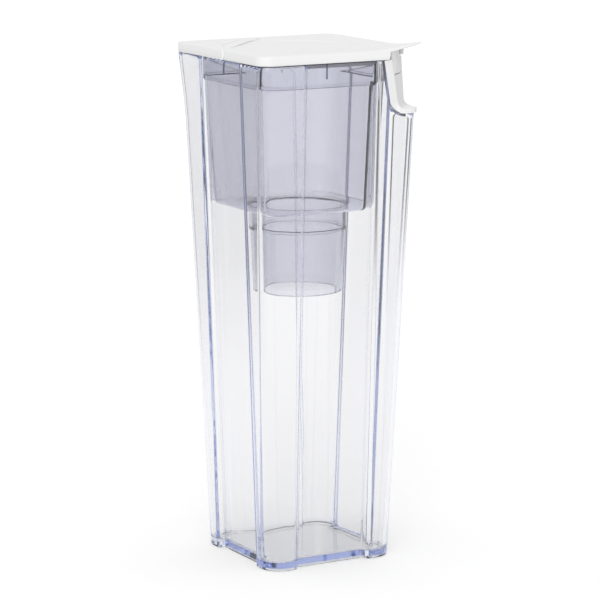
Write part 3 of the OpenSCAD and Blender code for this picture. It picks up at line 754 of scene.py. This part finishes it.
def make_latch_wall(material):
    """The wall that closes the flip lid's skirt across the grip corner."""
    into_plate = 0.8
    top = LID_Z + into_plate
    width = 2 * (LID_HALF * np.sqrt(2) - FRAME_FLAT) - 1.5
    place = (FRAME_FLAT - SKIRT_T / 2, (top + SKIRT_Z) / 2)
    return upright_slab("latch_wall", (SKIRT_T, width, top - SKIRT_Z), 0.5, 0.2, place, 0.0, material)


def cover_section(inset, z):
    """Outline of the fixed cover behind the seam, in reach and side, with a recess for the flip lid's
    tail."""
    clearance = 0.1
    shrink = SEAM_FOLLOWS * inset
    tip = (LID_HALF - inset) * np.sqrt(2)
    seam = seam_at(z, SEAM_GAP) + shrink
    back = HINGE_REACH + TAIL + clearance + shrink
    half = BARREL_W / 2 + clearance + shrink
    side = tip - seam
    corners = np.array([[-tip, 0.0], [-seam, side], [-seam, half], [-back, half],
                        [-back, -half], [-seam, -half], [-seam, -side]])
    radii = np.array([max(1.5, POUR_TIP_R - inset), 1.2, 0.8, 0.8, 0.8, 0.8, 1.2])
    return rounded_outline(corners, radii, 16)


def make_cover(material):
    """The fixed cover over the pouring corner: its outline swept up, with a rounded top edge."""
    soft = 0.2

    def row(inset, z):
        p = cover_section(inset, z)
        return off_diagonal(p[:, 0], p[:, 1], z)

    top = LID_Z + LID_T
    rows = [row(soft, FRAME_Z), row(0.0, FRAME_Z + soft), row(0.0, LID_Z)]
    for a in np.radians(np.linspace(0, 90, 9)):
        rows.append(row(LID_EDGE * (1 - np.cos(a)), top - LID_EDGE * (1 - np.sin(a))))
    return swept("fixed_cover", rows, material, "lid", "lid_frame", 50)


def frame_section(inset):
    """Outline of the lid frame, moved in by inset."""
    radii = np.maximum(0.8, np.array([LID_R, 2.5, 2.5, LID_R, LID_R]) - inset)
    return rounded_outline(cut_corners(LID_HALF - inset, FRAME_FLAT - inset), radii)


def make_frame(material):
    """The lid frame's ring: one closed section swept round, with an outer edge, a flat top and a plug that
    reaches into the hopper."""
    soft = 0.2
    edge_out = frame_section(FRAME_IN[0])
    edge_in = frame_section(FRAME_IN[1])
    inner = PLUG_IN + PLUG_T
    rows = [at(edge_out, FRAME_Z), at(edge_out, FRAME_TOP), at(band_section(inner), FRAME_TOP)]
    rows += [at(band_section(inner), PLUG_Z + soft), at(band_section(inner - soft), PLUG_Z)]
    rows += [at(band_section(PLUG_IN + soft), PLUG_Z), at(band_section(PLUG_IN), PLUG_Z + soft)]
    rows += [at(band_section(PLUG_IN), FRAME_TOP - PLUG_T), at(edge_in, FRAME_TOP - PLUG_T)]
    rows += [at(edge_in, FRAME_Z)]
    points = np.concatenate(rows)
    faces = facing_out(points, grid_faces(len(rows), len(rows[0]), loop=True))
    ring = mesh_piece("frame_ring", points, faces, material, "lid")
    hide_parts("lid_frame")
    return ring


def make_ribs(material):
    """The rim band's four upright ribs: an upright box on each side, and its mirror image in the diagonal
    plane."""
    clear_of_band = 0.02
    box_faces = [[0, 1, 3, 2], [4, 6, 7, 5], [0, 4, 5, 1], [2, 3, 7, 6], [0, 2, 6, 4], [1, 5, 7, 3]]
    for number, (side, off) in enumerate(((-1, RIB_OFF[0]), (1, RIB_OFF[1]))):
        along = np.array([-RIB_W, RIB_W]) / 2 - off
        out = side * (BAND_HALF + np.array([clear_of_band, RIB_OUT]))
        up = np.array([JUG_H - RIB_H, JUG_H])
        x, y, z = np.meshgrid(along, out, up, indexing="ij")
        box = np.stack([x, y, z], axis=-1).reshape(-1, 3)
        mirrored = np.column_stack([-box[:, 1], -box[:, 0], box[:, 2]])
        for half, points in enumerate((box, mirrored)):
            name = "band_rib_%d%d" % (number, half)
            faces = facing_out(points, box_faces)
            rib = mesh_piece(name, points, faces, material, "hopper")
            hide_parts("hopper")


# Materials

def principled(name, color, roughness, ior=1.46, transmission=0.0):
    """A new material with one colour, roughness, refraction and share of light let through."""
    material = bpy.data.materials.new(name)
    material.use_nodes = True
    shader = shader_of(material)
    shader.inputs["Base Color"].default_value = (*color, 1.0)
    shader.inputs["Roughness"].default_value = roughness
    shader.inputs["IOR"].default_value = ior
    shader.inputs["Transmission Weight"].default_value = transmission
    return material


def shader_of(material):
    """The material's main shader."""
    return material.node_tree.nodes["Principled BSDF"]


def node(owner, kind, **values):
    """A new node of a material or world, with values for its inputs by name."""
    made = owner.node_tree.nodes.new(kind)
    for key, value in values.items():
        made.inputs[key.replace("_", " ")].default_value = value
    return made


def link(owner, source, output, target, inlet):
    """Joins one node's output to another node's input."""
    owner.node_tree.links.new(source.outputs[output], target.inputs[inlet])


def maths(owner, operation, *sources):
    """The output of a new maths node, each of whose inputs takes a number or another node's output."""
    made = node(owner, "ShaderNodeMath")
    made.operation = operation
    for inlet, source in zip(made.inputs, sources):
        if isinstance(source, float):
            inlet.default_value = source
        else:
            owner.node_tree.links.new(source, inlet)
    return made.outputs["Value"]


def spread(owner, source, interpolation="LINEAR", **ends):
    """The output of a new node that spreads a value from one range to another."""
    made = node(owner, "ShaderNodeMapRange", **ends)
    made.interpolation_type = interpolation
    owner.node_tree.links.new(source, made.inputs["Value"])
    return made.outputs["Result"]


def grain(material, scale, strength, distance, roughness=None):
    """Fine unevenness of a moulded surface: noise on Object coordinates to bump, and to roughness if a range
    is given."""
    shader = shader_of(material)
    where = node(material, "ShaderNodeTexCoord")
    noise = node(material, "ShaderNodeTexNoise", Scale=scale, Detail=4.0)
    bump = node(material, "ShaderNodeBump", Strength=strength, Distance=distance)
    link(material, where, "Object", noise, "Vector")
    link(material, noise, "Fac", bump, "Height")
    link(material, bump, "Normal", shader, "Normal")
    if roughness:
        uneven = spread(material, noise.outputs["Fac"], To_Min=roughness[0], To_Max=roughness[1])
        material.node_tree.links.new(uneven, shader.inputs["Roughness"])


def see_through(name, color, roughness, tint, density):
    """Clear gloss plastic, with a colour that builds up with the length of the light's way through it."""
    material = principled(name, color, roughness, ior=1.5, transmission=1.0)
    grain(material, scale=30.0, strength=0.03, distance=0.0005, roughness=(0.0, 0.03))
    inside = node(material, "ShaderNodeVolumeAbsorption", Color=(*tint, 1.0), Density=density)
    link(material, inside, "Volume", material.node_tree.nodes["Material Output"], "Volume")
    return material


def clear_plastic():
    """The jug's clear plastic, faintly blue where it is thick."""
    return see_through("clear_plastic", (0.968, 0.964, 0.957), 0.01, (0.2, 0.33, 0.75), 15.0)


def smoky_plastic(name, density):
    """The hopper's smoky grey-blue plastic, darker with a higher density."""
    return see_through(name, (0.95, 0.95, 0.97), 0.02, (0.27, 0.30, 0.5), density)


def white_plastic():
    """Satin white plastic for the lid and saddle."""
    material = principled("white_plastic", (0.88, 0.88, 0.883), 0.32)
    grain(material, scale=900.0, strength=0.05, distance=0.0002, roughness=(0.28, 0.38))
    return material


def ghost(name, color, alpha, scale):
    """A nearly invisible material for the cartridge, because the sleeve looks empty in the photo."""
    material = principled(name, color, 0.4)
    shader_of(material).inputs["Alpha"].default_value = alpha
    grain(material, scale, strength=0.1, distance=0.0003)
    return material


def dress(node_name, material):
    """Gives a material to a CAD node that keeps its shape."""
    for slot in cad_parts[node_name].material_slots:
        slot.material = material


# Studio

def seen_white(owner, shown, lit):
    """A strength that is shown for camera, glossy and transmission rays, and lit for the rest."""
    path = node(owner, "ShaderNodeLightPath")
    seen = path.outputs["Is Camera Ray"]
    for ray in ("Is Glossy Ray", "Is Transmission Ray"):
        seen = maths(owner, "MAXIMUM", seen, path.outputs[ray])
    return spread(owner, seen, To_Min=lit, To_Max=shown)


def make_world():
    """White surroundings that light the object less than they show."""
    world = bpy.data.worlds.new("studio")
    world.use_nodes = True
    bpy.context.scene.world = world
    background = world.node_tree.nodes["Background"]
    background.inputs["Color"].default_value = WHITE
    world.node_tree.links.new(seen_white(world, shown=1.0, lit=0.78), background.inputs["Strength"])


def glowing(name, grey, roughness):
    """A dull grey material with a white glow."""
    material = principled(name, (grey, grey, grey), roughness, ior=1.5)
    shader_of(material).inputs["Specular IOR Level"].default_value = 0.0
    shader_of(material).inputs["Emission Color"].default_value = WHITE
    return material


def panel(name, corners, material, strength):
    """A flat piece of the studio between four corners, which glows with the strength of a node's output."""
    material.node_tree.links.new(strength, shader_of(material).inputs["Emission Strength"])
    mesh = bpy.data.meshes.new(name)
    mesh.from_pydata([tuple(corner) for corner in corners], [], [(0, 1, 2, 3)])
    mesh.materials.append(material)
    made = bpy.data.objects.new(name, mesh)
    bpy.context.scene.collection.objects.link(made)
    return made


def make_floor():
    """A wide white floor just below the jug's foot."""
    material = glowing("floor_white", grey=0.7, roughness=0.9)
    corners = [(x * FLOOR_REACH, y * FLOOR_REACH, FLOOR_Z) for x, y in ((-1, -1), (1, -1), (1, 1), (-1, 1))]
    panel("floor", corners, material, seen_white(material, shown=0.42, lit=0.2))


def make_sun(place, target, strength, width):
    """A far light that falls evenly on the floor, with soft shadows."""
    data = bpy.data.lights.new("sun", "SUN")
    data.energy = strength
    data.angle = np.radians(width)
    sun = bpy.data.objects.new("sun", data)
    bpy.context.scene.collection.objects.link(sun)
    sun.rotation_euler = (Vector(target) - Vector(place)).to_track_quat("-Z", "Y").to_euler()


def card_fade(material, grey):
    """Strength that is grey in the card's middle and rises smoothly to white at its upright edges and its
    foot."""
    where = node(material, "ShaderNodeTexCoord")
    split = node(material, "ShaderNodeSeparateXYZ")
    link(material, where, "Generated", split, "Vector")
    off_middle = maths(material, "MULTIPLY_ADD", split.outputs["X"], 2.0, -1.0)
    off_middle = maths(material, "ABSOLUTE", off_middle)
    sideways = spread(material, off_middle, "SMOOTHSTEP", From_Min=0.5, From_Max=1.0)
    foot = spread(material, split.outputs["Z"], "SMOOTHSTEP", From_Min=0.14, From_Max=0.0)
    edge = maths(material, "MAXIMUM", sideways, foot)
    return spread(material, edge, To_Min=grey, To_Max=1.0)


def make_card(name, right, beyond, width, grey):
    """An upright dark card beside the frame that faces the object, which draws dark lines along clear edges.
    Its place is given as the camera sees it: to the right of the object and beyond it."""
    turn = np.radians(CAMERA_TURN)
    x = right * np.cos(turn) + beyond * np.sin(turn)
    y = beyond * np.cos(turn) - right * np.sin(turn)
    middle = Vector((x, y, CARD_H / 2))
    across = Vector((-y, x, 0.0)).normalized() * width / 2
    up = Vector((0.0, 0.0, CARD_H / 2))
    corners = [middle - across - up, middle + across - up, middle + across + up, middle - across + up]
    material = glowing(name, grey=0.0, roughness=0.5)
    card = panel(name, corners, material, card_fade(material, grey))
    card.visible_camera = False
    card.visible_diffuse = False
    card.visible_shadow = False


def make_camera():
    """The camera that took the photo, solved from its edges."""
    data = bpy.data.cameras.new("camera")
    data.sensor_width = 36.0
    data.lens = 180.24
    data.shift_x = 0.0022
    data.shift_y = 0.0008
    camera = bpy.data.objects.new("camera", data)
    camera.location = CAMERA_PLACE
    camera.rotation_euler = Euler((np.radians(90 - CAMERA_DOWN), 0.0, np.radians(-CAMERA_TURN)))
    bpy.context.scene.collection.objects.link(camera)
    bpy.context.scene.camera = camera


def set_render():
    """Plain colours, and enough bounces for light that crosses many clear walls."""
    scene = bpy.context.scene
    scene.view_settings.view_transform = "Standard"
    scene.cycles.max_bounces = BOUNCES
    scene.cycles.transmission_bounces = BOUNCES
    scene.cycles.glossy_bounces = BOUNCES
    scene.cycles.transparent_max_bounces = BOUNCES


make_world()
make_floor()
make_camera()
make_sun(place=(-0.9, -1.3, 0.9), target=(0, 0, 0.15), strength=0.9, width=40.0)
make_card("left_card", right=-0.35, beyond=0.15, width=0.40, grey=0.40)
make_card("left_front_card", right=-0.32, beyond=-0.12, width=0.26, grey=0.35)
make_card("right_card", right=0.42, beyond=0.60, width=0.42, grey=0.12)
set_render()

clear = clear_plastic()
make_jug(clear)
make_notch_wall(clear)
make_hopper(smoky_plastic("smoky_plastic", density=108.0))
# The ribs use the smoky plastic at a far higher density than the hopper: this is painted shade that draws the
# dark lines along the rim band's slits.
make_ribs(smoky_plastic("rib_painted_shade", density=3500.0))
white = white_plastic()
make_saddle(white)
make_flip_plate(white)
make_flip_barrel(white)
make_flip_tail(white)
make_latch_tongue(white)
make_latch_wall(white)
make_cover(white)
make_frame(white)
dress("hinge_pins", white)
cartridge = ghost("cartridge_plastic", (0.66, 0.68, 0.78), alpha=0.02, scale=60.0)
for name in ("cartridge_body", "cartridge_cap", "cartridge_grille"):
    dress(name, cartridge)
dress("cartridge_seal", ghost("seal_rubber", (0.6, 0.62, 0.68), alpha=0.04, scale=80.0))
felt = ghost("screen_felt", (0.92, 0.92, 0.93), alpha=0.02, scale=500.0)
dress("upper_screen", felt)
dress("lower_screen", felt)
dress("filter_media", ghost("filter_granules", (0.8, 0.81, 0.86), alpha=0.015, scale=300.0))
